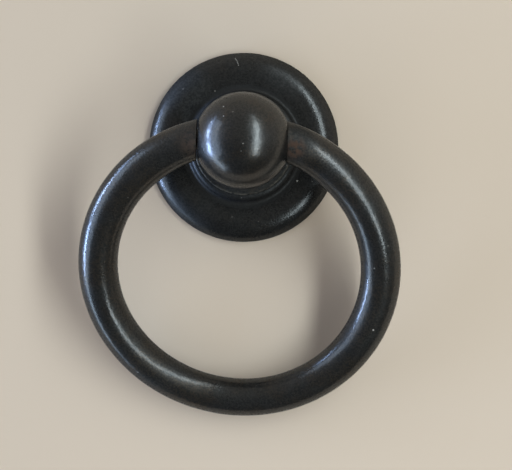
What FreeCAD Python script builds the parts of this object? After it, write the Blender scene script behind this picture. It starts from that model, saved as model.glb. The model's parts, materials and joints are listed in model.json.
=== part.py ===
import FreeCAD, Part
import math
import os
import Sketcher

# Ring pull handle for a drawer or cabinet front, in millimetres.
# The back of the rosette lies on the plane z = 0 and the post stands on the Z axis.
# The ring swings about an axis along X through the ball, and rests with its far side on z = 0, towards -Y.

doc = FreeCAD.newDocument("RingPull")

SIZES = [
    # The ring, a round rod with a turned tenon on each end.
    ("ring_outer_dia", 63.5),
    ("rod_dia", 7.6),
    ("end_gap", 0.2),
    ("end_round", 0.25),
    ("tenon_dia", 4.0),
    ("tenon_length", 3.4),
    ("tenon_chamfer", 0.4),
    # The post: ball, neck, flared foot and spigot.
    ("pivot_height", 23.0),
    ("ball_dia", 18.7),
    ("flat_margin", 0.1),
    ("pivot_clearance", 0.05),
    ("neck_dia", 11.0),
    ("neck_fillet", 0.8),
    ("foot_cove_radius", 4.5),
    ("foot_edge", 0.6),
    ("spigot_clearance", 0.1),
    ("spigot_setback", 0.4),
    ("thread_drill_dia", 3.45),
    ("thread_depth", 11.0),
    ("thread_countersink", 0.4),
    # The rosette.
    ("rosette_dia", 39.0),
    ("rim_width", 4.2),
    ("rim_land", 1.6),
    ("rim_edge_round", 0.9),
    ("crown_height", 4.4),
    ("valley_drop", 0.3),
    ("boss_dia", 23.0),
    ("boss_slope", 0.65),
    ("boss_height", 6.0),
    ("boss_cove", 0.8),
    ("boss_round", 1.2),
    ("rosette_bore_dia", 9.0),
    ("back_rim_width", 3.0),
    ("back_hub_width", 4.0),
    ("back_relief_depth", 1.2),
]

sheet = doc.addObject("Spreadsheet::Sheet", "Sizes")
for row, (alias, size) in enumerate(SIZES, start=1):
    sheet.set(f"A{row}", alias)
    sheet.set(f"B{row}", str(size))
    sheet.setAlias(f"B{row}", alias)
doc.recompute()

# Derived dimensions, as expressions over the sheet.
ROD_R = "Sizes.rod_dia / 2"
BALL_R = "Sizes.ball_dia / 2"
TENON_R = "Sizes.tenon_dia / 2"
NECK_R = "Sizes.neck_dia / 2"
THREAD_R = "Sizes.thread_drill_dia / 2"
ROSETTE_R = "Sizes.rosette_dia / 2"
BOSS_R = "Sizes.boss_dia / 2"
BOSS_TOP_R = f"{BOSS_R} - Sizes.boss_slope"
BORE_R = "Sizes.rosette_bore_dia / 2"

# Each flat of the ball is a disc a little wider than the rod that lies against it.
FLAT_X = f"sqrt(({BALL_R})^2 - ({ROD_R} + Sizes.flat_margin)^2)"
END_X = f"({FLAT_X} + Sizes.end_gap)"

# The rod's centre line crosses the pivot axis at the flats.
RING_R = "(Sizes.ring_outer_dia - Sizes.rod_dia) / 2"
RING_CENTRE = f"sqrt(({RING_R})^2 - ({FLAT_X})^2)"
TILT = f"asin((Sizes.pivot_height - {ROD_R}) / ({RING_CENTRE} + {RING_R}))"

# Where the neck runs into the underside of the ball.
NECK_TOP = f"Sizes.pivot_height - sqrt(({BALL_R})^2 - ({NECK_R})^2)"
FOOT_R = f"{NECK_R} + Sizes.foot_cove_radius"
FOOT_TOP = "Sizes.boss_height + Sizes.foot_edge"
SPIGOT_R = f"{BORE_R} - Sizes.spigot_clearance"

# The rim's outer arc falls from the crown to the land, its inner arc from the crown to the boss.
CROWN_R = f"{ROSETTE_R} - Sizes.rim_width"
VALLEY_Z = "Sizes.crown_height - Sizes.valley_drop"

# The largest radius of the round at a wall's foot or top, as a share of the wall's height.
COVE_SHARE = 0.45
SHOULDER_SHARE = 0.9
RIM_EDGE_SHARE = 0.8

# The point that a drill leaves at the end of a blind hole, as a share of the drill's diameter.
DRILL_POINT_SHARE = 0.3

# A sketch's own axes and origin, and the points of its lines, arcs and circles.
ROOT, HORIZONTAL, VERTICAL = -1, -1, -2
START, END, CENTRE = 1, 2, 3

FULL_TURN = 360
UP = FreeCAD.Vector(0, 0, 1)

# How closely an edge has to lie where it is looked for.
MATCH = 1e-4


def value(expression):
    """The number that an expression over the sheet gives now."""
    result = sheet.evalExpression(expression)
    return float(getattr(result, "Value", result))


def tangent_arc_radius(run, drop):
    """The radius of an arc that starts level and reaches a point at this run and drop."""
    return f"((({run})^2 + ({drop})^2) / (2 * ({drop})))"


def plane(body, role):
    """One of the body's own origin planes."""
    return next(f for f in body.Origin.OriginFeatures if f.Role == role)


def new_body(label):
    body = doc.addObject("PartDesign::Body", label)
    body.Label = label
    return body


def new_sketch(body, name, role, offset=None):
    """A sketch on an origin plane of the body, moved along the plane's normal by an expression."""
    sketch = body.newObject("Sketcher::SketchObject", name)
    sketch.AttachmentSupport = (plane(body, role), [""])
    sketch.MapMode = "FlatFace"
    if offset:
        sketch.setExpression("AttachmentOffset.Base.z", offset)
    return sketch


def bind(sketch, constraint, expression):
    """Add a dimension and drive it from the sheet."""
    index = sketch.addConstraint(constraint)
    sketch.setExpression(f"Constraints[{index}]", expression)


def pin(sketch, geometry, position, x, y):
    """Fix a point of the sketch at the two expressions, measured from the sketch's origin."""
    axes = (("DistanceX", VERTICAL, x), ("DistanceY", HORIZONTAL, y))
    for kind, axis, expression in axes:
        size = value(expression)
        if expression == "0":
            sketch.addConstraint(Sketcher.Constraint("PointOnObject", geometry, position, axis))
        elif size > 0:
            rule = Sketcher.Constraint(kind, ROOT, START, geometry, position, size)
            bind(sketch, rule, expression)
        else:
            rule = Sketcher.Constraint(kind, geometry, position, ROOT, START, -size)
            bind(sketch, rule, f"-({expression})")


def arc_between(start, end, radius, side):
    """The shorter arc between two points, bulging to the left (1) or right (-1) of the way from start to end.
    Arcs are drawn anticlockwise, so one that bulges to the left is drawn from its end to its start."""
    chord = end - start
    left = FreeCAD.Vector(-chord.y, chord.x, 0).normalize()
    reach = math.sqrt(max(radius**2 - (chord.Length / 2) ** 2, 0.0))
    centre = (start + end) * 0.5 - left * (side * reach)
    first, last = (start, end) if side < 0 else (end, start)
    angles = [math.atan2(point.y - centre.y, point.x - centre.x) for point in (first, last)]
    return Part.ArcOfCircle(Part.Circle(centre, UP, radius), *angles)


def outline(sketch, corners, arcs=None):
    """A closed outline through corners, which are (x, y) expressions.
    arcs gives a (radius, side) for the stretch after a corner, where that is an arc."""
    arcs = arcs or {}
    points = [FreeCAD.Vector(value(x), value(y), 0) for x, y in corners]
    sides = []
    for index, start in enumerate(points):
        end = points[(index + 1) % len(points)]
        radius, bulge = arcs.get(index, (None, -1))
        line = arc_between(start, end, value(radius), bulge) if radius else Part.LineSegment(start, end)
        edge = sketch.addGeometry(line)
        sides.append((edge, START, END) if bulge < 0 else (edge, END, START))
    for index, (edge, _, last) in enumerate(sides):
        following, first, _ = sides[(index + 1) % len(sides)]
        sketch.addConstraint(Sketcher.Constraint("Coincident", edge, last, following, first))
    for (edge, first, _), (x, y) in zip(sides, corners):
        pin(sketch, edge, first, x, y)
    for index, (radius, _) in arcs.items():
        bind(sketch, Sketcher.Constraint("Radius", sides[index][0], value(radius)), radius)


def disc(sketch, x, y, radius):
    """A circle with its centre at the two expressions."""
    centre = FreeCAD.Vector(value(x), value(y), 0)
    circle = sketch.addGeometry(Part.Circle(centre, UP, value(radius)))
    pin(sketch, circle, CENTRE, x, y)
    bind(sketch, Sketcher.Constraint("Radius", circle, value(radius)), radius)


def turn(body, kind, name, sketch, axis):
    """A Revolution or Groove of the sketch through a full turn."""
    feature = body.newObject(f"PartDesign::{kind}", name)
    feature.Profile = sketch
    feature.ReferenceAxis = (sketch, [axis])
    feature.Angle = FULL_TURN
    doc.recompute()
    return feature


def pocket_through(body, name, sketch):
    """Cut the sketch's outline right through the body, both ways."""
    feature = body.newObject("PartDesign::Pocket", name)
    feature.Profile = sketch
    feature.Type = "ThroughAll"
    feature.Midplane = True
    doc.recompute()
    return feature


def mirrored(body, name, feature):
    """The feature's copy on the other side of the YZ plane."""
    copy = body.newObject("PartDesign::Mirrored", name)
    copy.Originals = [feature]
    copy.MirrorPlane = (plane(body, "YZ_Plane"), [""])
    body.Tip = copy
    doc.recompute()
    return copy


def fillet(body, name, base, chosen, radius):
    """Round the edges of the base feature that the test picks."""
    edges = [f"Edge{i}" for i, edge in enumerate(base.Shape.Edges, start=1) if chosen(edge)]
    feature = body.newObject("PartDesign::Fillet", name)
    feature.Base = (base, edges)
    feature.setExpression("Radius", radius)
    doc.recompute()
    return feature


def circle_at(radius, height):
    """A test for circular edges about the Z axis, of this radius and height."""
    wanted_radius, wanted_height = value(radius), value(height)

    def test(edge):
        if edge.Degenerated or not isinstance(edge.Curve, Part.Circle):
            return False
        centre = edge.Curve.Center
        on_axis = math.hypot(centre.x, centre.y) < MATCH
        same_radius = abs(edge.Curve.Radius - wanted_radius) < MATCH
        return on_axis and same_radius and abs(centre.z - wanted_height) < MATCH

    return test


def make_rosette():
    """A turned disc: relieved back, rolled rim, rounded boss with a cove at its foot, bore for the spigot."""
    body = new_body("rosette")
    section = new_sketch(body, "RosetteSection", "XZ_Plane")
    rim_drop = "Sizes.crown_height - Sizes.rim_land"
    corners = [
        (BORE_R, "0"),
        (ROSETTE_R, "0"),
        (ROSETTE_R, "Sizes.rim_land"),
        (CROWN_R, "Sizes.crown_height"),
        (BOSS_R, VALLEY_Z),
        (BOSS_TOP_R, "Sizes.boss_height"),
        (BORE_R, "Sizes.boss_height"),
    ]
    arcs = {
        2: (tangent_arc_radius("Sizes.rim_width", rim_drop), -1),
        3: (tangent_arc_radius(f"{CROWN_R} - {BOSS_R}", "Sizes.valley_drop"), -1),
    }
    outline(section, corners, arcs)
    disc_blank = turn(body, "Revolution", "RosetteBlank", section, "V_Axis")

    relief_section = new_sketch(body, "BackReliefSection", "XZ_Plane")
    hub_r = f"{BORE_R} + Sizes.back_hub_width"
    rim_r = f"{ROSETTE_R} - Sizes.back_rim_width"
    relief_corners = [
        (hub_r, "0"),
        (rim_r, "0"),
        (rim_r, "Sizes.back_relief_depth"),
        (hub_r, "Sizes.back_relief_depth"),
    ]
    outline(relief_section, relief_corners)
    relieved = turn(body, "Groove", "BackRelief", relief_section, "V_Axis")
    assert relieved.Shape.Volume < disc_blank.Shape.Volume

    # The rounds on the boss share its wall, so neither is larger than its part of it.
    wall = f"Sizes.boss_height - ({VALLEY_Z})"
    cove = f"min(Sizes.boss_cove; {COVE_SHARE} * ({wall}))"
    shoulder = f"min(Sizes.boss_round; {SHOULDER_SHARE} * ({wall}))"
    coved = fillet(body, "BossCove", relieved, circle_at(BOSS_R, VALLEY_Z), cove)
    rounded = fillet(body, "BossRound", coved, circle_at(BOSS_TOP_R, "Sizes.boss_height"), shoulder)
    edge_round = f"min(Sizes.rim_edge_round; {RIM_EDGE_SHARE} * Sizes.rim_land)"
    fillet(body, "RimRound", rounded, circle_at(ROSETTE_R, "Sizes.rim_land"), edge_round)
    return body


def make_ball_post():
    """A turned post: spigot, flared foot, neck and ball, with two flats, a cross bore and a blind hole."""
    body = new_body("ball_post")
    section = new_sketch(body, "PostSection", "XZ_Plane")
    corners = [
        ("0", "Sizes.spigot_setback"),
        (SPIGOT_R, "Sizes.spigot_setback"),
        (SPIGOT_R, "Sizes.boss_height"),
        (FOOT_R, "Sizes.boss_height"),
        (FOOT_R, FOOT_TOP),
        (NECK_R, f"{FOOT_TOP} + Sizes.foot_cove_radius"),
        (NECK_R, NECK_TOP),
        (BALL_R, "Sizes.pivot_height"),
        ("0", f"Sizes.pivot_height + {BALL_R}"),
    ]
    arcs = {
        4: ("Sizes.foot_cove_radius", 1),
        6: (BALL_R, -1),
        7: (BALL_R, -1),
    }
    outline(section, corners, arcs)
    turned = turn(body, "Revolution", "PostTurned", section, "V_Axis")
    blended = fillet(body, "NeckBlend", turned, circle_at(NECK_R, NECK_TOP), "Sizes.neck_fillet")

    # The flat lies on the pivot axis, facing the ring's end.
    flat_sketch = new_sketch(body, "FlatOutline", "YZ_Plane", FLAT_X)
    disc(flat_sketch, "0", "Sizes.pivot_height", BALL_R)
    flat = body.newObject("PartDesign::Pocket", "Flat")
    flat.Profile = flat_sketch
    flat.Type = "Length"
    flat.Reversed = True
    flat.setExpression("Length", BALL_R)
    doc.recompute()
    flats = mirrored(body, "BothFlats", flat)
    assert flats.Shape.Volume < flat.Shape.Volume < blended.Shape.Volume

    bore_sketch = new_sketch(body, "CrossBoreOutline", "YZ_Plane")
    disc(bore_sketch, "0", "Sizes.pivot_height", f"{TENON_R} + Sizes.pivot_clearance")
    bored = pocket_through(body, "CrossBore", bore_sketch)
    assert bored.Shape.Volume < flats.Shape.Volume

    hole_section = new_sketch(body, "ThreadHoleSection", "XZ_Plane")
    hole_top = "Sizes.spigot_setback + Sizes.thread_depth"
    drill_point = f"{DRILL_POINT_SHARE} * Sizes.thread_drill_dia"
    hole_corners = [
        ("0", "Sizes.spigot_setback"),
        (f"{THREAD_R} + Sizes.thread_countersink", "Sizes.spigot_setback"),
        (THREAD_R, "Sizes.spigot_setback + Sizes.thread_countersink"),
        (THREAD_R, hole_top),
        ("0", f"{hole_top} + {drill_point}"),
    ]
    outline(hole_section, hole_corners)
    drilled = turn(body, "Groove", "ThreadHole", hole_section, "V_Axis")
    assert drilled.Shape.Volume < bored.Shape.Volume
    return body


def make_ring():
    """A round rod in a circle, open at the top, its ends cut square to the pivot axis and turned to tenons.
    It is drawn flat, with the pivot axis on X and the ring towards -Y, and then swung down to its rest."""
    body = new_body("ring")
    section = new_sketch(body, "RodSection", "YZ_Plane")
    centre = f"-({RING_CENTRE})"
    disc(section, f"{centre} - {RING_R}", "0", ROD_R)
    low = FreeCAD.Vector(value(centre), -value(ROD_R), 0)
    high = FreeCAD.Vector(value(centre), value(ROD_R), 0)
    axle = section.addGeometry(Part.LineSegment(low, high), True)
    section.addConstraint(Sketcher.Constraint("Vertical", axle))
    pin(section, axle, START, centre, f"-({ROD_R})")
    bind(section, Sketcher.Constraint("DistanceY", axle, START, axle, END, 2 * value(ROD_R)), "Sizes.rod_dia")
    hoop = turn(body, "Revolution", "Hoop", section, "Axis0")

    # The mouth reaches from the ring's centre to well past the rod.
    mouth_sketch = new_sketch(body, "MouthOutline", "XY_Plane")
    past_rod = "2 * Sizes.rod_dia"
    mouth_corners = [
        (f"-({END_X})", centre),
        (END_X, centre),
        (END_X, past_rod),
        (f"-({END_X})", past_rod),
    ]
    outline(mouth_sketch, mouth_corners)
    opened = pocket_through(body, "Mouth", mouth_sketch)
    assert opened.Shape.Volume < hoop.Shape.Volume

    end_x = value(END_X)

    def on_end_face(edge):
        return all(abs(abs(vertex.X) - end_x) < MATCH for vertex in edge.Vertexes)

    rounded = fillet(body, "EndRound", opened, on_end_face, "Sizes.end_round")

    # The tenon starts inside the rod, half a rod's radius behind its end.
    tenon_section = new_sketch(body, "TenonSection", "XY_Plane")
    tip = f"({END_X}) - Sizes.tenon_length"
    root = f"({END_X}) + {ROD_R} / 2"
    tenon_corners = [
        (tip, "0"),
        (root, "0"),
        (root, TENON_R),
        (f"{tip} + Sizes.tenon_chamfer", TENON_R),
        (tip, f"{TENON_R} - Sizes.tenon_chamfer"),
    ]
    outline(tenon_section, tenon_corners)
    tenon = turn(body, "Revolution", "Tenon", tenon_section, "H_Axis")
    assert tenon.Shape.Volume > rounded.Shape.Volume
    mirrored(body, "BothTenons", tenon)

    body.Placement = FreeCAD.Placement(FreeCAD.Vector(0, 0, 1), FreeCAD.Rotation(FreeCAD.Vector(1, 0, 0), 1))
    body.setExpression("Placement.Base.z", "Sizes.pivot_height")
    body.setExpression("Placement.Rotation.Angle", TILT)
    return body


bodies = [make_rosette(), make_ball_post(), make_ring()]
doc.recompute()

for item in doc.Objects:
    if "Invalid" in item.State or "Error" in item.State:
        raise RuntimeError(f"{item.Label} did not build: {item.State}")
for body in bodies:
    if body.Shape.isNull() or not body.Shape.isValid() or len(body.Shape.Solids) != 1:
        raise RuntimeError(f"{body.Label} is not one valid solid")

os.makedirs("parts", exist_ok=True)
for body in bodies:
    body.Shape.exportStep(f"parts/{body.Label}.step")
    print(body.Label, round(body.Shape.Volume, 1), "mm3")
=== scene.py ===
import json
import math

import bmesh
import bpy
import numpy as np
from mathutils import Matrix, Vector, noise


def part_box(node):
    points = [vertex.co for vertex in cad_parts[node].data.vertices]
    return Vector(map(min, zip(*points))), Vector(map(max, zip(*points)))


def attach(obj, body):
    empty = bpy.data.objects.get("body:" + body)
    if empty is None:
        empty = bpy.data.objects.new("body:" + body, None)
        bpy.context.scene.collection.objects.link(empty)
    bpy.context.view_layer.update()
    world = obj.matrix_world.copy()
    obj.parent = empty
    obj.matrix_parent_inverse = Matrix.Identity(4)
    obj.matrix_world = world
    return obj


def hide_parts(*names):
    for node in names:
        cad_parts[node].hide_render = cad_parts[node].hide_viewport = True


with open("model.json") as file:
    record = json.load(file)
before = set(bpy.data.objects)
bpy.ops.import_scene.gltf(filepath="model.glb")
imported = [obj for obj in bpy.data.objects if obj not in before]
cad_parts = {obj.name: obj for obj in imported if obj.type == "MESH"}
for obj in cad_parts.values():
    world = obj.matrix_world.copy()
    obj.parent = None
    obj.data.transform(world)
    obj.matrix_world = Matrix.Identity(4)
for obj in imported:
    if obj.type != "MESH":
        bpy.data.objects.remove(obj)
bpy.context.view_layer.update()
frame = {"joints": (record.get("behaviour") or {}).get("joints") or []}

# Sizes in millimetres, in the frame's own axes. The outer ones come from the frame.
MM = 0.001
PIVOT_Z = frame["joints"][0]["pos_m"][2] / MM
BALL_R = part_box("ball_post")[1].z / MM - PIVOT_Z
ROSETTE_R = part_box("rosette")[1].x / MM
RING_OUTER_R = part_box("ring")[1].x / MM

# The ring: a round rod with a tenon on each end. Its right end stands almost against the ball's flat.
ROD_R = 3.8
RIGHT_GAP = 0.01
RIGHT_ROUND = 0.04
LEFT_GAP = 0.32
LEFT_ROUND = 0.12
TENON_R = 2.0
TENON_LENGTH = 3.4
TENON_CHAMFER = 0.4

# The ball with its two flats and the cross bore for the tenons.
FLAT_MARGIN = 0.1
FLAT_EDGE = 0.05
PIVOT_CLEARANCE = 0.05
DRILL_OVERHANG = 1.0

# The neck and the flared foot. The foot's cove stops just short of level, where its edge begins to round.
NECK_R = 5.5
NECK_FILLET = 0.8
FOOT_COVE = 4.5
FOOT_COVE_END = 268
FOOT_EDGE = 0.6
FOOT_EDGE_ROUND = 0.2
FOOT_EDGE_START = 80

# A small nick in the foot's edge. The least radius keeps the push finite on the axis.
FOOT_NICK = (1.95, -9.5, 6.5)
FOOT_NICK_REACH = 0.55
FOOT_NICK_DEPTH = 0.3
LEAST_RADIUS = 1e-6

# The spigot and the threaded hole. The groove's flanks have a steepness, its crest takes a share of them,
# and it fades in and out over so many pitches.
SPIGOT_R = 4.4
SPIGOT_Z = 0.4
THREAD_MINOR_R = 1.725
THREAD_DEPTH = 0.35
THREAD_PITCH = 0.794
THREAD_STEEPNESS = 2.4
THREAD_CREST = 0.7
THREAD_FADE_IN = 1
THREAD_FADE_OUT = 2
THREAD_COUNTERSINK = 0.4
HOLE_LENGTH = 11.0
DRILL_POINT_PER_DIAMETER = 0.3
DRILL_POINT = DRILL_POINT_PER_DIAMETER * 2 * THREAD_MINOR_R

# The rosette.
BORE_R = 4.5
BOSS_R = 11.5
BOSS_SLOPE = 0.65
BOSS_Z = 6.0
BOSS_COVE = 0.8
BOSS_ROUND = 1.2
RIM_WIDTH = 4.2
RIM_LAND = 1.6
RIM_EDGE_ROUND = 0.9
CROWN_Z = 4.4
VALLEY_DROP = 0.3
BACK_EDGE_ROUND = 0.2
BACK_RIM = 3.0
BACK_HUB = 4.0
BACK_RELIEF = 1.2

# Where the pieces meet.
FLAT_X = math.sqrt(BALL_R**2 - (ROD_R + FLAT_MARGIN) ** 2)
RING_R = RING_OUTER_R - ROD_R
RING_CENTRE = math.sqrt(RING_R**2 - FLAT_X**2)
FOOT_R = NECK_R + FOOT_COVE
FOOT_TOP = BOSS_Z + FOOT_EDGE
CROWN_R = ROSETTE_R - RIM_WIDTH

# The ring is a little out of round: long from upper left to lower right, short the other way, with three
# faint lobes, and set to the right and downwards. Counted from the middle of the mouth, that starts at one
# angle and is full at the other.
OVAL = 0.28
LOBES = 0.08
ASIDE = 0.12
DOWN = 0.08
OVAL_FROM = math.radians(20)
OVAL_FULL = math.radians(40)

# The ring's tilt at rest. The lift leaves room for the rod's waviness, so that the ring lies on the floor.
REST_LIFT = 0.02
TILT = math.asin((PIVOT_Z - ROD_R - REST_LIFT) / (RING_CENTRE + RING_R + DOWN))

# The rod is a little thicker on the right and towards its ends.
RIGHT_SWELL = 0.07
UPPER_SWELL = 0.15

# How finely the surfaces are divided.
TURNED_SEGMENTS = 224
BORE_SEGMENTS = 64
ROD_SECTION_POINTS = 96
ROD_STEPS = 420
END_ROUND_STEPS = 8
THREAD_ROWS_PER_TURN = 12
SHARP_ANGLE = math.radians(38)

# Hand finishing leaves a faint waviness, as a wavelength and a depth, with its own place in the noise for
# each piece. Over the first and the last of this many parts of the rod it fades out.
RIPPLE_LENGTH = 9.0
RIPPLE_DEPTH = 0.025
ROSETTE_SEED = 3.0
RING_SEED = 7.0
FADE_PARTS = 12


def arc(centre, radius, start, end, steps):
    """Points of an arc in (radius, height), between two angles in degrees, both ends included."""
    angles = np.radians(np.linspace(start, end, steps + 1))
    return [(centre[0] + radius * math.cos(a), centre[1] + radius * math.sin(a)) for a in angles]


def line(start, end, steps):
    """Points of a straight stretch in (radius, height), without its two ends."""
    shares = np.linspace(0, 1, steps + 1)[1:-1]
    return [tuple(np.array(start) + (np.array(end) - np.array(start)) * share) for share in shares]


def circle_angles(count):
    """Evenly spaced angles of a full turn."""
    return np.arange(count) * 2 * math.pi / count


def tangent_arc_radius(run, drop):
    """The radius of an arc that starts level and reaches a point at this run and drop."""
    return (run**2 + drop**2) / (2 * drop)


def turn(profile):
    """One loop of points round the Z axis for each (radius, height); a point on the axis stays one point.
    A radius may also be an array with a value for each segment."""
    angles = circle_angles(TURNED_SEGMENTS)
    rows = []
    for radius, height in profile:
        if np.ndim(radius) == 0 and radius == 0:
            rows.append(np.array([(0.0, 0.0, height)]))
            continue
        heights = np.full(TURNED_SEGMENTS, height)
        rows.append(np.stack([radius * np.cos(angles), radius * np.sin(angles), heights], axis=1))
    return rows


def skin(name, rows, closed=False):
    """A mesh object over rows of points in millimetres. A row of one point closes an end, as a tip does."""
    points = []
    loops = []
    for row in rows:
        loops.append(range(len(points), len(points) + len(row)))
        points.extend(row)
    pairs = list(zip(loops, loops[1:]))
    if closed:
        pairs.append((loops[-1], loops[0]))
    faces = []
    for lower, upper in pairs:
        count = max(len(lower), len(upper))
        for i in range(count):
            j = (i + 1) % count
            corners = (
                lower[i % len(lower)],
                lower[j % len(lower)],
                upper[j % len(upper)],
                upper[i % len(upper)],
            )
            faces.append(list(dict.fromkeys(corners)))
    mesh = bpy.data.meshes.new(name)
    mesh.from_pydata((np.array(points) * MM).tolist(), [], faces)
    made = bpy.data.objects.new(name, mesh)
    bpy.context.scene.collection.objects.link(made)
    return made


def finish_mesh(piece):
    """Turn the faces outwards and shade them smooth, but for sharp edges."""
    shell = bmesh.new()
    shell.from_mesh(piece.data)
    bmesh.ops.recalc_face_normals(shell, faces=shell.faces)
    shell.to_mesh(piece.data)
    shell.free()
    piece.data.shade_smooth()
    piece.data.set_sharp_from_angle(angle=SHARP_ANGLE)


def ripple(point, seed):
    """The depth of the waviness at a point."""
    return RIPPLE_DEPTH * noise.noise(Vector(point) / RIPPLE_LENGTH + Vector((seed, 0, 0)))


def wave_radially(rows, seed):
    """Move each point of turned rows a little away from or towards the axis."""
    for row in rows:
        reach = np.hypot(row[:, 0], row[:, 1])
        if reach[0] > 0:
            depths = np.array([ripple(point, seed) for point in row])
            row[:, :2] *= (1 + depths / reach)[:, None]


def dent(row, spot, reach, depth):
    """Press the points near a spot in towards the axis. A point on the axis stays where it is."""
    away = np.linalg.norm(row - np.array(spot), axis=1)
    push = depth * np.exp(-((away / reach) ** 2))
    radius = np.maximum(np.hypot(row[:, 0], row[:, 1]), LEAST_RADIUS)
    row[:, :2] *= (1 - push / radius)[:, None]


def rosette_profile():
    """The rosette's section, from the top of the bore outwards, round the rim and back along the rear."""
    rim_r = tangent_arc_radius(RIM_WIDTH, CROWN_Z - RIM_LAND)
    rim_centre = (CROWN_R, CROWN_Z - rim_r)
    edge_x = ROSETTE_R - RIM_EDGE_ROUND
    edge_z = rim_centre[1] + math.sqrt((rim_r - RIM_EDGE_ROUND) ** 2 - (edge_x - CROWN_R) ** 2)
    edge_angle = math.degrees(math.atan2(edge_z - rim_centre[1], edge_x - CROWN_R))

    valley_r = tangent_arc_radius(CROWN_R - BOSS_R, VALLEY_DROP)
    valley_centre = np.array((CROWN_R, CROWN_Z - valley_r))
    flank_foot = np.array((BOSS_R, CROWN_Z - VALLEY_DROP))
    flank = np.array((-BOSS_SLOPE, BOSS_Z - flank_foot[1]))
    flank /= np.linalg.norm(flank)
    outwards = np.array((flank[1], -flank[0]))
    flank_angle = math.degrees(math.atan2(outwards[1], outwards[0]))

    # The cove touches the boss's flank and the valley's arc.
    offset = flank_foot + BOSS_COVE * outwards - valley_centre
    rise = offset @ flank
    climb = -rise + math.sqrt(rise**2 - offset @ offset + (valley_r + BOSS_COVE) ** 2)
    cove_offset = offset + climb * flank
    cove_centre = valley_centre + cove_offset
    valley_angle = math.degrees(math.atan2(cove_offset[1], cove_offset[0]))

    shoulder_turn = math.radians(90 - flank_angle)
    shoulder_x = BOSS_R - BOSS_SLOPE - BOSS_ROUND * math.tan(shoulder_turn / 2)

    inner_r = BORE_R + BACK_HUB
    outer_r = ROSETTE_R - BACK_RIM
    back = BACK_EDGE_ROUND
    return [
        (BORE_R, BOSS_Z),
        *line((BORE_R, BOSS_Z), (shoulder_x, BOSS_Z), steps=8),
        *arc((shoulder_x, BOSS_Z - BOSS_ROUND), BOSS_ROUND, 90, flank_angle, steps=14),
        *arc(cove_centre, BOSS_COVE, 180 + flank_angle, 180 + valley_angle, steps=12),
        *arc(valley_centre, valley_r, valley_angle, 90, steps=8)[1:],
        *arc(rim_centre, rim_r, 90, edge_angle, steps=28)[1:],
        *arc((edge_x, edge_z), RIM_EDGE_ROUND, edge_angle, 0, steps=8)[1:],
        *arc((ROSETTE_R - back, back), back, 0, -90, steps=4),
        (outer_r, 0),
        (outer_r, BACK_RELIEF),
        *line((outer_r, BACK_RELIEF), (inner_r, BACK_RELIEF), steps=6),
        (inner_r, BACK_RELIEF),
        (inner_r, 0),
        (BORE_R, 0),
    ]


def make_rosette():
    """The turned back plate, with the faint waviness of its finishing."""
    rows = turn(rosette_profile())
    wave_radially(rows, ROSETTE_SEED)
    piece = skin("bronze_rosette", rows, closed=True)
    finish_mesh(piece)
    return piece


def thread_rows():
    """The hole's wall with a helical groove that fades out at both ends."""
    start = SPIGOT_Z + THREAD_COUNTERSINK
    end = SPIGOT_Z + HOLE_LENGTH
    turns = (end - start) / THREAD_PITCH
    share_of_turn = np.arange(TURNED_SEGMENTS) / TURNED_SEGMENTS
    rows = []
    for height in np.linspace(start, end, int(turns * THREAD_ROWS_PER_TURN)):
        phase = (height / THREAD_PITCH - share_of_turn) % 1.0
        groove = np.clip(THREAD_STEEPNESS * (1 - np.abs(2 * phase - 1)) - THREAD_CREST, 0, 1)
        fade_in = (height - start) / (THREAD_FADE_IN * THREAD_PITCH)
        fade_out = (end - height) / (THREAD_FADE_OUT * THREAD_PITCH)
        fade = min(1.0, fade_in, fade_out)
        rows.append((THREAD_MINOR_R + THREAD_DEPTH * fade * groove, height))
    return rows


def post_profile():
    """The post's section, from the top of the ball down to the spigot and up the threaded hole."""
    fillet_x = NECK_R + NECK_FILLET
    fillet_drop = math.sqrt((BALL_R + NECK_FILLET) ** 2 - fillet_x**2)
    ball_end = -math.degrees(math.atan2(fillet_drop, fillet_x))
    neck_top = PIVOT_Z - fillet_drop
    edge = FOOT_EDGE_ROUND
    mouth = THREAD_MINOR_R + THREAD_COUNTERSINK
    return [
        (0, PIVOT_Z + BALL_R),
        *arc((0, PIVOT_Z), BALL_R, 90, ball_end, steps=120)[1:],
        *arc((fillet_x, neck_top), NECK_FILLET, 180 + ball_end, 180, steps=8)[1:],
        *arc((FOOT_R, FOOT_TOP + FOOT_COVE), FOOT_COVE, 180, FOOT_COVE_END, steps=24),
        *arc((FOOT_R - edge, FOOT_TOP - edge), edge, FOOT_EDGE_START, 0, steps=5),
        (FOOT_R, BOSS_Z),
        (SPIGOT_R, BOSS_Z),
        (SPIGOT_R, SPIGOT_Z),
        (mouth, SPIGOT_Z),
        *thread_rows(),
        (0, SPIGOT_Z + HOLE_LENGTH + DRILL_POINT),
    ]


def flatten(x):
    """Bring what stands past the flats back to them, with a small round at the flats' edges."""
    reach = np.abs(x)
    rounded = FLAT_X - (FLAT_X + FLAT_EDGE - reach) ** 2 / (4 * FLAT_EDGE)
    reach = np.where(reach > FLAT_X - FLAT_EDGE, rounded, reach)
    reach = np.where(np.abs(x) > FLAT_X + FLAT_EDGE, FLAT_X, reach)
    return np.sign(x) * reach


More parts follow.
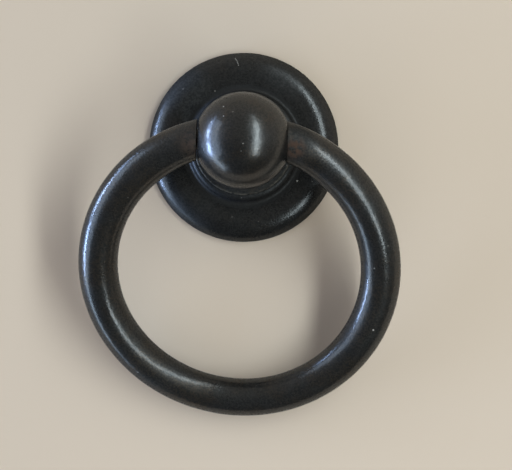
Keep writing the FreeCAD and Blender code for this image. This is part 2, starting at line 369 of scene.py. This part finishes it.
def drill_cross_bore(piece):
    """Cut the bore that the ring's tenons turn in."""
    half = BALL_R + DRILL_OVERHANG
    radius = TENON_R + PIVOT_CLEARANCE
    angles = circle_angles(BORE_SEGMENTS)
    heights = PIVOT_Z + radius * np.sin(angles)
    circle = np.stack([np.zeros(BORE_SEGMENTS), radius * np.cos(angles), heights], axis=1)
    rows = [
        np.array([(-half, 0, PIVOT_Z)]),
        circle - (half, 0, 0),
        circle + (half, 0, 0),
        np.array([(half, 0, PIVOT_Z)]),
    ]
    drill = skin("drill", rows)
    finish_mesh(drill)
    cut = piece.modifiers.new("cross_bore", "BOOLEAN")
    cut.object = drill
    cut.operation = "DIFFERENCE"
    cut.solver = "EXACT"
    view = bpy.context.evaluated_depsgraph_get()
    bored = bpy.data.meshes.new_from_object(piece.evaluated_get(view))
    piece.modifiers.clear()
    piece.data = bored
    bpy.data.objects.remove(drill)


def make_ball_post():
    """The turned post, with the flats on its ball, the nick in its foot and the cross bore."""
    rows = turn(post_profile())
    for row in rows:
        if row[0, 2] > FOOT_TOP + FOOT_COVE:
            row[:, 0] = flatten(row[:, 0])
        dent(row, FOOT_NICK, FOOT_NICK_REACH, FOOT_NICK_DEPTH)
    piece = skin("bronze_ball_post", rows)
    finish_mesh(piece)
    drill_cross_bore(piece)
    finish_mesh(piece)
    return piece


def swell(around):
    """How far the rod lies outside a true circle, at angles from the middle of the mouth."""
    from_mouth = np.minimum(around, 2 * math.pi - around)
    share = np.clip((from_mouth - OVAL_FROM) / (OVAL_FULL - OVAL_FROM), 0, 1)
    shift = ASIDE * np.sin(around) - DOWN * np.cos(around)
    shift = shift - OVAL * np.sin(2 * around) + LOBES * np.sin(3 * around)
    return shift * share**2 * (3 - 2 * share)


def rod_loop(section_r, right_x, left_x, share):
    """One loop of the rod, drawn flat. The rod's lines run from a plane across X on the right to one on
    the left, and share goes along them."""
    angles = circle_angles(ROD_SECTION_POINTS)
    reach = RING_R + section_r * np.cos(angles)
    first = np.arcsin(right_x / reach)
    last = 2 * math.pi - np.arcsin(left_x / reach)
    around = first + (last - first) * share
    reach = reach + swell(around)
    sideways = reach * np.sin(around)
    lengthways = reach * np.cos(around) - RING_CENTRE
    return np.stack([sideways, lengthways, section_r * np.sin(angles)], axis=1)


def tenon_loop(x, radius):
    """One loop of a tenon, round the pivot axis."""
    angles = circle_angles(ROD_SECTION_POINTS)
    across = np.full(ROD_SECTION_POINTS, x)
    return np.stack([across, radius * np.cos(angles), radius * np.sin(angles)], axis=1)


def ring_end(face_x, end_round):
    """The loops of a right end, from the tenon's tip to the rod's full section."""
    tip = face_x - TENON_LENGTH
    rows = [
        np.array([(tip, 0.0, 0.0)]),
        tenon_loop(tip, TENON_R - TENON_CHAMFER),
        tenon_loop(tip + TENON_CHAMFER, TENON_R),
        tenon_loop(face_x, TENON_R),
    ]
    for angle in np.radians(np.linspace(0, 90, END_ROUND_STEPS + 1)):
        section_r = ROD_R - end_round * (1 - math.sin(angle))
        start_x = face_x + end_round * (1 - math.cos(angle))
        rows.append(rod_loop(section_r, start_x, start_x, 0.0))
    return rows


def make_ring():
    """The ring is drawn flat with the pivot axis on X, and then swung down to its rest."""
    right_face = FLAT_X + RIGHT_GAP
    left_face = FLAT_X + LEFT_GAP
    right_start = right_face + RIGHT_ROUND
    left_start = left_face + LEFT_ROUND
    right = ring_end(right_face, RIGHT_ROUND)
    left = [row * (-1, 1, 1) for row in reversed(ring_end(left_face, LEFT_ROUND))]
    middle = []
    for share in np.linspace(0, 1, ROD_STEPS + 1)[1:-1]:
        plain = rod_loop(ROD_R, right_start, left_start, share)
        fade = min(1.0, FADE_PARTS * share, FADE_PARTS * (1 - share))
        depths = fade * np.array([ripple(point, RING_SEED) for point in plain])
        depths += RIGHT_SWELL * max(0.0, math.sin(2 * math.pi * share)) ** 2
        depths += fade * UPPER_SWELL * math.cos(math.pi * share) ** 2
        middle.append(rod_loop(ROD_R + depths, right_start, left_start, share))
    rows = right + middle + left
    cosine = math.cos(TILT)
    sine = math.sin(TILT)
    swing = np.array([[1, 0, 0], [0, cosine, -sine], [0, sine, cosine]])
    rows = [row @ swing.T + (0, 0, PIVOT_Z) for row in rows]
    piece = skin("bronze_ring", rows)
    finish_mesh(piece)
    return piece


def node(tree, kind, inputs=None, **settings):
    """Add a node, set its properties, and give its inputs values or links."""
    made = tree.nodes.new(kind)
    for name, setting in settings.items():
        setattr(made, name, setting)
    for name, given in (inputs or {}).items():
        if isinstance(given, bpy.types.NodeSocket):
            tree.links.new(given, made.inputs[name])
        else:
            made.inputs[name].default_value = given
    return made


def millimetres(tree):
    """The piece's own coordinates in millimetres."""
    coordinates = node(tree, "ShaderNodeTexCoord").outputs["Object"]
    inputs = {0: coordinates, "Scale": 1 / MM}
    return node(tree, "ShaderNodeVectorMath", inputs, operation="SCALE").outputs[0]


def cloud(tree, place, length, detail=3.0, distortion=0.0):
    """Noise from 0 to 1 whose blotches are about a length in millimetres."""
    inputs = {
        "Vector": place,
        "Scale": 1 / length,
        "Detail": detail,
        "Roughness": CLOUD_ROUGHNESS,
        "Distortion": distortion,
    }
    return node(tree, "ShaderNodeTexNoise", inputs).outputs["Fac"]


def span(tree, value, low, high, to_low=0.0, to_high=1.0):
    """A value mapped smoothly from one range to another and held at its ends."""
    inputs = {"Value": value, "From Min": low, "From Max": high, "To Min": to_low, "To Max": to_high}
    return node(tree, "ShaderNodeMapRange", inputs, interpolation_type="SMOOTHSTEP").outputs["Result"]


def near(tree, place, spot, inner, outer):
    """1 within the inner distance of a spot, 0 past the outer one."""
    inputs = {0: place, 1: spot}
    away = node(tree, "ShaderNodeVectorMath", inputs, operation="DISTANCE").outputs["Value"]
    return span(tree, away, inner, outer, 1.0, 0.0)


def calculate(tree, operation, first, second):
    """The result of one operation on two numbers."""
    return node(tree, "ShaderNodeMath", {0: first, 1: second}, operation=operation).outputs[0]


# The sockets of a mix node that hold colours.
MIX_FIRST = 6
MIX_SECOND = 7
MIX_RESULT = 2


def blend(tree, share, first, second):
    """Mix two colours."""
    mixed = node(tree, "ShaderNodeMix", {"Factor": share}, data_type="RGBA")
    for socket, given in ((mixed.inputs[MIX_FIRST], first), (mixed.inputs[MIX_SECOND], second)):
        if isinstance(given, bpy.types.NodeSocket):
            tree.links.new(given, socket)
        else:
            socket.default_value = (*given, 1.0)
    return mixed.outputs[MIX_RESULT]


def strongest(tree, masks):
    """The largest of several masks at each point."""
    most, *others = masks
    for mask in others:
        most = calculate(tree, "MAXIMUM", most, mask)
    return most


# Colours of the finish: the dark patina and its pits, where it is thin and brown, rust, worn edges, dirt
# with painted shade in the groove round the boss, and dust.
PATINA = (0.0475, 0.048, 0.0475)
DEEP = (0.025, 0.026, 0.026)
BROWN = (0.056, 0.047, 0.038)
RUST = (0.076, 0.046, 0.033)
WORN = (0.13, 0.12, 0.10)
# The groove's dark colour: dirt, and painted shade in the crease round the boss.
DIRT_AND_SHADE = (0.018, 0.017, 0.016)
DUST = (0.60, 0.58, 0.54)

# The finish mirrors less than a clean metal at glancing angles.
GLANCING_TINT = (0.295, 0.325, 0.335, 1.0)
SURFACE_IOR = 1.5

# How rough all the noise is, and the part of its range in which most of it lies.
CLOUD_ROUGHNESS = 0.55
MIDDLE = (0.30, 0.70)

# The size of the fine cast grain, and how much it changes the roughness.
GRAIN_LENGTH = 0.38
GLINT = 0.03

# The size and the depth of the soft unevenness that is left under the finish.
PEEL_LENGTH = 1.8
PEEL_DEPTH = 0.04

# The size of the brown mottling and of the changes in gloss.
MOTTLE_LENGTH = 6.0
GLOSS_LENGTH = 2.2

# Where this much roughness is added, the wax is gone.
WAX_GONE = 0.30

# Dull spots: centre, reach, faded reach and the added roughness.
RING_DULL = (
    ((10.0, -0.5, 26.5), 2.0, 6.0, 0.28),
    ((21.0, -9.0, 24.0), 4.0, 12.0, 0.07),
    ((21.5, -33.0, 13.0), 4.0, 9.0, 0.10),
    ((-9.0, 0.0, 26.0), 1.0, 3.0, 0.15),
    ((-18.0, -45.0, 9.0), 4.0, 16.0, 0.10),
)
POST_DULL = (
    ((0.0, 0.0, 0.0), 12.0, 14.5, 0.28),
    ((0.0, -9.0, 20.5), 3.0, 7.0, 0.20),
)
PLATE_DULL = (
    ((0.0, 0.0, 5.0), 12.1, 12.9, 0.20),
    ((8.0, 14.8, 4.0), 1.5, 6.0, 0.14),
    ((-13.0, 12.0, 3.5), 3.0, 7.5, 0.26),
    ((-9.6, 5.8, 5.5), 2.0, 4.0, 0.40),
    ((-11.0, -14.0, 3.5), 3.0, 7.0, 0.16),
)

# Rusty spots on the ring's ends: centre, reach, faded reach and strength. Rust is freckled, rougher than the
# patina, and mirrors less like a metal.
RING_RUST = (
    ((9.9, -1.3, 25.8), 0.8, 2.8, 0.95),
    ((-9.9, -1.2, 26.0), 0.6, 3.2, 0.45),
)
FRECKLE_LENGTH = 0.9
FRECKLE_RANGE = (0.34, 0.56)
RUST_ROUGHNESS = 0.2
RUST_METAL_LOSS = 0.5

# Dirt and painted shade darken the groove round the boss, between these distances from the axis, faded at
# each side. They cover the metal by a share that changes from place to place.
GROOVE_IN = (11.0, 11.5)
GROOVE_OUT = (12.3, 12.9)
DIRT_AND_SHADE_LENGTH = 3.0
DIRT_AND_SHADE_COVER = (0.55, 0.85)
DIRT_AND_SHADE_METAL_LOSS = 0.6

# The foot's edge is worn in a ragged band that starts and is full at these distances inside it.
WORN_FROM = 0.5
WORN_FULL = 0.1
RAGGED_LENGTH = 0.8
RAGGED_RANGE = (0.40, 0.60)

# Dust specks lie at random, in the few cells whose draw is high enough, with a solid and a faded reach that
# are shares of the spacing.
SPECK_SPACING = 1.8
SPECK_DRAW = (0.88, 0.885)
SPECK_REACH = (0.03, 0.11)
SPECK_STRENGTH = 0.4
DUST_COVER = 0.6

# Single pale marks: centre, reach and faded reach.
RING_MARKS = (
    ((26.87, -36.02, 13.61), 0.10, 0.24),
    ((26.32, -23.73, 18.00), 0.06, 0.16),
    ((-19.71, -46.22, 9.37), 0.05, 0.14),
)
BALL_MARKS = (
    ((0.15, -1.16, 32.28), 0.06, 0.14),
    ((-3.74, 5.82, 29.29), 0.08, 0.18),
    ((-3.65, 3.93, 30.66), 0.06, 0.15),
    ((-5.97, 2.82, 29.62), 0.06, 0.15),
)
PLATE_MARKS = (
    ((11.12, -6.68, 4.3), 0.10, 0.22),
    ((-6.22, 11.16, 4.27), 0.05, 0.14),
)

# A short bent hair lies on the rim, as a row of marks. It is given from above: start, bend and end.
HAIR_START = (-2.30, 18.00)
HAIR_BEND = (-1.82, 17.49)
HAIR_END = (-1.62, 16.62)
HAIR_MARK_COUNT = 6
HAIR_REACH = (0.05, 0.14)


def hair_marks():
    """The row of marks along the hair, on the round of the rim."""
    rim_r = tangent_arc_radius(RIM_WIDTH, CROWN_Z - RIM_LAND)
    start, bend, end = (np.array(point) for point in (HAIR_START, HAIR_BEND, HAIR_END))
    marks = []
    for share in np.linspace(0, 1, HAIR_MARK_COUNT):
        rest = 1 - share
        x, y = rest**2 * start + 2 * rest * share * bend + share**2 * end
        z = CROWN_Z - rim_r + math.sqrt(rim_r**2 - (math.hypot(x, y) - CROWN_R) ** 2)
        marks.append(((x, y, z), *HAIR_REACH))
    return tuple(marks)


def distance_from_axis(tree, place):
    """How far a point is from the Z axis."""
    level = node(tree, "ShaderNodeVectorMath", {0: place, 1: (1, 1, 0)}, operation="MULTIPLY").outputs[0]
    return node(tree, "ShaderNodeVectorMath", {0: level}, operation="LENGTH").outputs["Value"]


def dulling(tree, place, spots):
    """The roughness that the dull spots add."""
    total = 0.0
    for spot, solid, faded, amount in spots:
        patch = calculate(tree, "MULTIPLY", near(tree, place, spot, solid, faded), amount)
        total = calculate(tree, "ADD", total, patch)
    return total


def rust_mask(tree, place, spots):
    """Freckled rust round its spots."""
    freckle = span(tree, cloud(tree, place, FRECKLE_LENGTH, detail=4.0), *FRECKLE_RANGE)
    patches = []
    for spot, solid, faded, strength in spots:
        patch = calculate(tree, "MULTIPLY", near(tree, place, spot, solid, faded), freckle)
        patches.append(calculate(tree, "MULTIPLY", patch, strength))
    return strongest(tree, patches)


def groove_dirt_and_shade_mask(tree, place):
    """Patchy dirt and painted shade in the groove round the boss."""
    reach = distance_from_axis(tree, place)
    inner = span(tree, reach, *GROOVE_IN)
    outer = span(tree, reach, *GROOVE_OUT, 1.0, 0.0)
    cover = span(tree, cloud(tree, place, DIRT_AND_SHADE_LENGTH), *MIDDLE, *DIRT_AND_SHADE_COVER)
    return calculate(tree, "MULTIPLY", calculate(tree, "MULTIPLY", inner, outer), cover)


def worn_mask(tree, place):
    """The ragged wear on the foot's edge."""
    reach = distance_from_axis(tree, place)
    edge = span(tree, reach, FOOT_R - WORN_FROM, FOOT_R - WORN_FULL)
    ragged = span(tree, cloud(tree, place, RAGGED_LENGTH, detail=4.0), *RAGGED_RANGE)
    return calculate(tree, "MULTIPLY", edge, ragged)


def dust_mask(tree, place, marks):
    """Scattered dust specks and the single pale marks."""
    specks = node(tree, "ShaderNodeTexVoronoi", {"Vector": place, "Scale": 1 / SPECK_SPACING})
    draw = node(tree, "ShaderNodeSeparateColor", {0: specks.outputs["Color"]}).outputs[0]
    chosen = span(tree, draw, *SPECK_DRAW)
    speck = span(tree, specks.outputs["Distance"], *SPECK_REACH, SPECK_STRENGTH, 0.0)
    pale = [calculate(tree, "MULTIPLY", chosen, speck)]
    pale += [near(tree, place, *mark) for mark in marks]
    return calculate(tree, "MULTIPLY", strongest(tree, pale), DUST_COVER)


def cast_bump(tree, place, grain, grain_depth):
    """The relief of the fine grain and of the soft unevenness under it."""
    fine = calculate(tree, "MULTIPLY", grain, grain_depth)
    soft = calculate(tree, "MULTIPLY", cloud(tree, place, PEEL_LENGTH, detail=2.0), PEEL_DEPTH)
    height = calculate(tree, "ADD", fine, soft)
    return node(tree, "ShaderNodeBump", {"Strength": 1.0, "Distance": MM, "Height": height}).outputs[0]


def bronze(name, brown, metal, gloss, wax, grain_depth, dull, marks, rust=(), groove=False, worn_foot=False):
    """Dark oil-rubbed bronze: mottled patina, fine cast grain, dull spots, pale marks and dust specks, and
    where asked for rust, dirt and painted shade in the groove round the boss and wear on the foot's edge.
    brown is the range of the mottling that turns brown, metal the share that mirrors like a metal, gloss the
    lowest and the highest roughness, and wax the weight and the roughness of the thin coat over it."""
    material = bpy.data.materials.new(name)
    material.use_nodes = True
    tree = material.node_tree
    tree.nodes.clear()
    place = millimetres(tree)
    grain = cloud(tree, place, GRAIN_LENGTH, detail=2.0)
    wax_weight, wax_roughness = wax

    mottle = cloud(tree, place, MOTTLE_LENGTH, detail=5.0, distortion=0.4)
    colour = blend(tree, span(tree, mottle, *brown), PATINA, BROWN)
    colour = blend(tree, span(tree, grain, *MIDDLE), DEEP, colour)

    roughness = span(tree, cloud(tree, place, GLOSS_LENGTH, detail=4.0), *MIDDLE, *gloss)
    roughness = calculate(tree, "ADD", roughness, span(tree, grain, *MIDDLE, GLINT, -GLINT))
    dulled = dulling(tree, place, dull)
    roughness = calculate(tree, "ADD", roughness, dulled)
    wax_left = span(tree, dulled, 0.0, WAX_GONE, wax_weight, 0.0)

    if groove:
        # Dirt and painted shade: a dark colour in the groove that darkens the crease round the boss beyond
        # the lamps' own shade.
        dirt_and_shade = groove_dirt_and_shade_mask(tree, place)
        colour = blend(tree, dirt_and_shade, colour, DIRT_AND_SHADE)
        metal = calculate(tree, "SUBTRACT", metal, calculate(tree, "MULTIPLY", dirt_and_shade, DIRT_AND_SHADE_METAL_LOSS))
    if rust:
        rusty = rust_mask(tree, place, rust)
        colour = blend(tree, rusty, colour, RUST)
        roughness = calculate(tree, "ADD", roughness, calculate(tree, "MULTIPLY", rusty, RUST_ROUGHNESS))
        metal = calculate(tree, "SUBTRACT", metal, calculate(tree, "MULTIPLY", rusty, RUST_METAL_LOSS))
    if worn_foot:
        colour = blend(tree, worn_mask(tree, place), colour, WORN)
    dust = dust_mask(tree, place, marks)
    colour = blend(tree, dust, colour, DUST)
    metal = calculate(tree, "SUBTRACT", metal, dust)

    bump = cast_bump(tree, place, grain, grain_depth)
    inputs = {
        "Base Color": colour,
        "Metallic": metal,
        "Roughness": roughness,
        "IOR": SURFACE_IOR,
        "Specular Tint": GLANCING_TINT,
        "Coat Weight": wax_left,
        "Coat Roughness": wax_roughness,
        "Coat Normal": bump,
        "Normal": bump,
    }
    surface = node(tree, "ShaderNodeBsdfPrincipled", inputs).outputs[0]
    node(tree, "ShaderNodeOutputMaterial", {"Surface": surface})
    return material


def rosette_finish():
    return bronze(
        "rosette_patina",
        brown=(0.55, 0.90),
        metal=0.78,
        gloss=(0.25, 0.31),
        wax=(0.22, 0.20),
        grain_depth=0.028,
        dull=PLATE_DULL,
        marks=PLATE_MARKS + hair_marks(),
        groove=True,
    )


def post_finish():
    return bronze(
        "post_patina",
        brown=(0.38, 0.70),
        metal=0.83,
        gloss=(0.29, 0.35),
        wax=(0.60, 0.195),
        grain_depth=0.012,
        dull=POST_DULL,
        marks=BALL_MARKS,
        worn_foot=True,
    )


def ring_finish():
    return bronze(
        "ring_patina",
        brown=(0.34, 0.66),
        metal=0.76,
        gloss=(0.27, 0.33),
        wax=(0.45, 0.13),
        grain_depth=0.025,
        dull=RING_DULL,
        marks=RING_MARKS,
        rust=RING_RUST,
    )


def dress(piece, body, material):
    """The piece moves with its body, stands for the CAD node that it is named after, and gets its finish."""
    piece.data.materials.clear()
    piece.data.materials.append(material)
    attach(piece, body)
    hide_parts(piece.name.removeprefix("bronze_"))


# The floor, plain, pale and matt, in metres. It lies a hair below the handle.
FLOOR_X = (-0.5, 1.2)
FLOOR_Y = (-1.2, 0.6)
FLOOR_DROP = 0.02 * MM
FLOOR_COLOUR = (0.615, 0.51, 0.41, 1.0)
FLOOR_ROUGHNESS = 0.6


def make_floor():
    mesh = bpy.data.meshes.new("floor")
    left, right = FLOOR_X
    front, back = FLOOR_Y
    outline = ((left, front), (right, front), (right, back), (left, back))
    corners = [(x, y, -FLOOR_DROP) for x, y in outline]
    mesh.from_pydata(corners, [], [(0, 1, 2, 3)])
    floor = bpy.data.objects.new("floor", mesh)
    bpy.context.scene.collection.objects.link(floor)
    material = bpy.data.materials.new("floor_paint")
    material.use_nodes = True
    paint = material.node_tree.nodes["Principled BSDF"]
    paint.inputs["Base Color"].default_value = FLOOR_COLOUR
    paint.inputs["Roughness"].default_value = FLOOR_ROUGHNESS
    paint.inputs["Specular IOR Level"].default_value = 0.0
    mesh.materials.append(material)


# The strip light hangs overhead on the right, tilted to the handle, in two lengths along Y: name, middle,
# length and radiance. Lights are in metres.
STRIP_TILT = math.radians(33)
STRIP_DISTANCE = 0.7
STRIP_WIDTH = 0.13
STRIP_COLOUR = (0.84, 0.955, 1.0)
STRIPS = (
    ("right_strip", 0.04, 0.96, 11.4),
    ("right_strip_far", 0.76, 0.48, 4.2),
)

# The window stands low on the left, in three cool panes along Y: name, middle, width, height and radiance.
WINDOW_X = -0.8
WINDOW_COLOUR = (0.42, 0.60, 1.0)
PANES = (
    ("left_window_far", 0.40, 0.32, 0.055, 29.0),
    ("left_window_middle", 0.1275, 0.225, 0.06, 76.0),
    ("left_window_near", -0.2275, 0.325, 0.075, 78.0),
)


def area_light(name, place, aim, size, radiance, colour, mirrored=True):
    """A rectangular lamp. size is its level side and its other side, radiance what a mirror would show of
    it, and a lamp that isn't mirrored only lights matt surfaces."""
    lamp = bpy.data.lights.new(name, "AREA")
    lamp.shape = "RECTANGLE"
    lamp.size, lamp.size_y = size
    lamp.energy = radiance * math.pi * size[0] * size[1]
    lamp.color = colour
    made = bpy.data.objects.new(name, lamp)
    made.location = place
    made.rotation_euler = (Vector(aim) - Vector(place)).to_track_quat("-Z", "Y").to_euler()
    made.visible_camera = False
    made.visible_glossy = mirrored
    bpy.context.scene.collection.objects.link(made)


def make_lights():
    """The strip, the window with a paler light over it and a dim one beside it, and a soft fill in front."""
    strip_x = STRIP_DISTANCE * math.sin(STRIP_TILT)
    strip_z = STRIP_DISTANCE * math.cos(STRIP_TILT)
    for name, middle, length, radiance in STRIPS:
        size = (length, STRIP_WIDTH)
        area_light(name, (strip_x, middle, strip_z), (0, middle, 0), size, radiance, STRIP_COLOUR)
    for name, middle, width, height, radiance in PANES:
        place = (WINDOW_X, middle, height / 2)
        area_light(name, place, (0, middle, height / 2), (width, height), radiance, WINDOW_COLOUR)
    area_light(
        "left_upper",
        place=(WINDOW_X, 0, 0.35),
        aim=(0, 0, 0.35),
        size=(1.2, 0.34),
        radiance=3.0,
        colour=(0.60, 0.76, 1.0),
    )
    area_light(
        "left_side",
        place=(WINDOW_X, -0.85, 0.10),
        aim=(0, -0.6, 0.10),
        size=(0.8, 0.20),
        radiance=7.0,
        colour=(0.60, 0.78, 1.0),
    )
    area_light(
        "front_fill",
        place=(0.15, -0.60, 0.40),
        aim=(0, 0, 0),
        size=(0.7, 0.4),
        radiance=1.6,
        colour=(1.0, 0.98, 0.95),
        mirrored=False,
    )


# The dome's colours at the horizon and overhead, each in front and at the back, and the parts of a direction
# in which one goes over into the other.
HORIZON_FRONT = (0.07, 0.07, 0.065)
HORIZON_BACK = (0.54, 0.50, 0.44)
HORIZON_TURN = (-0.8, 0.3)
OVERHEAD_FRONT = (0.11, 0.105, 0.095)
OVERHEAD_BACK = (0.30, 0.28, 0.25)
OVERHEAD_TURN = (-0.5, 0.5)
DOME_RISE = (0.05, 0.85)


def make_world():
    """A plain studio dome: pale at the horizon, dim overhead, and dark in front."""
    world = bpy.data.worlds.new("dome")
    bpy.context.scene.world = world
    world.use_nodes = True
    tree = world.node_tree
    tree.nodes.clear()
    direction = node(tree, "ShaderNodeTexCoord").outputs["Generated"]
    parts = node(tree, "ShaderNodeSeparateXYZ", {0: direction}).outputs
    horizon = blend(tree, span(tree, parts["Y"], *HORIZON_TURN), HORIZON_FRONT, HORIZON_BACK)
    overhead = blend(tree, span(tree, parts["Y"], *OVERHEAD_TURN), OVERHEAD_FRONT, OVERHEAD_BACK)
    colour = blend(tree, span(tree, parts["Z"], *DOME_RISE), horizon, overhead)
    background = node(tree, "ShaderNodeBackground", {"Color": colour, "Strength": 1.0}).outputs[0]
    node(tree, "ShaderNodeOutputWorld", {"Surface": background})


# The camera looks straight down on the handle, as the picture does, with the picture's small turn.
CAMERA_PLACE = (3.09 * MM, -17.98 * MM, 296.4 * MM)
CAMERA_TURN = math.radians(1.82)
IMAGE_WIDTH = 512
FOCAL_PIXELS = 1430
CLIP_START = 0.01


def make_camera():
    lens = bpy.data.cameras.new("camera")
    lens.sensor_fit = "HORIZONTAL"
    lens.lens = lens.sensor_width * FOCAL_PIXELS / IMAGE_WIDTH
    lens.clip_start = CLIP_START
    camera = bpy.data.objects.new("camera", lens)
    camera.location = CAMERA_PLACE
    camera.rotation_euler = (0, 0, CAMERA_TURN)
    bpy.context.scene.collection.objects.link(camera)
    bpy.context.scene.camera = camera


dress(make_rosette(), "base", rosette_finish())
dress(make_ball_post(), "base", post_finish())
dress(make_ring(), "pull_ring", ring_finish())

make_floor()
make_lights()
make_world()
make_camera()
bpy.context.scene.view_settings.view_transform = "Standard"
